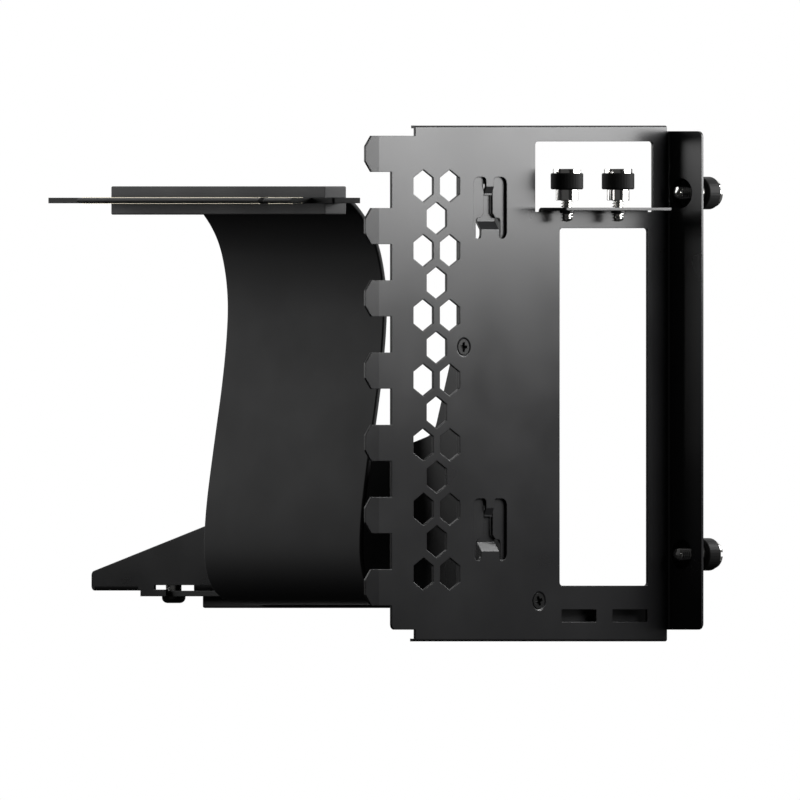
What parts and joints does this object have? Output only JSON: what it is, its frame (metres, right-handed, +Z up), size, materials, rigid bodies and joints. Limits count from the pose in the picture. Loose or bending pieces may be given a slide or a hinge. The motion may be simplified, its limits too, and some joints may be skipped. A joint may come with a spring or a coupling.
{
  "type": "vertical graphics card bracket",
  "caption": "Slotted case bracket that holds a graphics card upright, with a vented rear plate, folded riser shelf, card slot, flat cable and edge plug.",
  "frame": {"origin": "on the screw flange's seat, the face that lies on the case, midway between its two screw holes", "axes": "+X out past the screw flange, away from the tabs, +Y into the case, +Z up along the rear plate"},
  "size_m": [0.1326, 0.1825, 0.1451],
  "materials": {
    "black_sheet": "satin black powder coat",
    "screw_metal": "bright nickel plate",
    "black_screw": "black oxide",
    "grip": "smooth black",
    "retainer": "matt black",
    "board": "black solder mask",
    "housing": "matt black moulding",
    "cover": "satin black moulding",
    "cable": "satin black jacket",
    "contact": "gold plated",
    "standoff": "plated steel"
  },
  "bodies": {
    "bracket": {"rear_plate": "black_sheet", "riser_bracket": "black_sheet", "riser_screw_upper": "black_screw", "riser_screw_lower": "black_screw", "slot_board": "board", "board_screws": "screw_metal", "board_standoffs": "standoff", "slot_housing": "housing", "slot_contacts": "contact", "slot_cover": "cover", "flat_cable": "cable", "plug_board": "board", "plug_pads": "contact", "plug_cover_upper": "cover", "plug_cover_lower": "cover", "captive_retainer_lower": "retainer", "captive_retainer_upper": "retainer"},
    "latch": {"slot_latch": "housing"},
    "left_card_thumbscrew": {"card_screw_left": "screw_metal", "card_screw_left_grip": "grip"},
    "right_card_thumbscrew": {"card_screw_right": "screw_metal", "card_screw_right_grip": "grip"},
    "lower_case_thumbscrew": {"case_screw_lower": "screw_metal", "case_screw_lower_grip": "grip"},
    "upper_case_thumbscrew": {"case_screw_upper": "screw_metal", "case_screw_upper_grip": "grip"}
  },
  "joints": [
    {"name": "card_screw_left_turn", "type": "hinge", "parent": "bracket", "child": "left_card_thumbscrew", "pos_m": [-0.0446, 0.0009, 0.047], "axis": [0, 0, 1], "continuous": true},
    {"name": "card_screw_right_turn", "type": "hinge", "parent": "bracket", "child": "right_card_thumbscrew", "pos_m": [-0.02428, 0.0009, 0.047], "axis": [0, 0, 1], "continuous": true},
    {"name": "case_screw_lower_turn", "type": "hinge", "parent": "bracket", "child": "lower_case_thumbscrew", "pos_m": [0.0019, 0, -0.0508], "axis": [1, 0, 0], "continuous": true},
    {"name": "case_screw_upper_turn", "type": "hinge", "parent": "bracket", "child": "upper_case_thumbscrew", "pos_m": [0.0019, 0, 0.0508], "axis": [1, 0, 0], "continuous": true},
    {"name": "latch_swing", "type": "hinge", "parent": "bracket", "child": "latch", "pos_m": [-0.0446, 0.14225, -0.05682], "axis": [-1, 0, 0], "range_deg": [0, 25]}
  ]
}
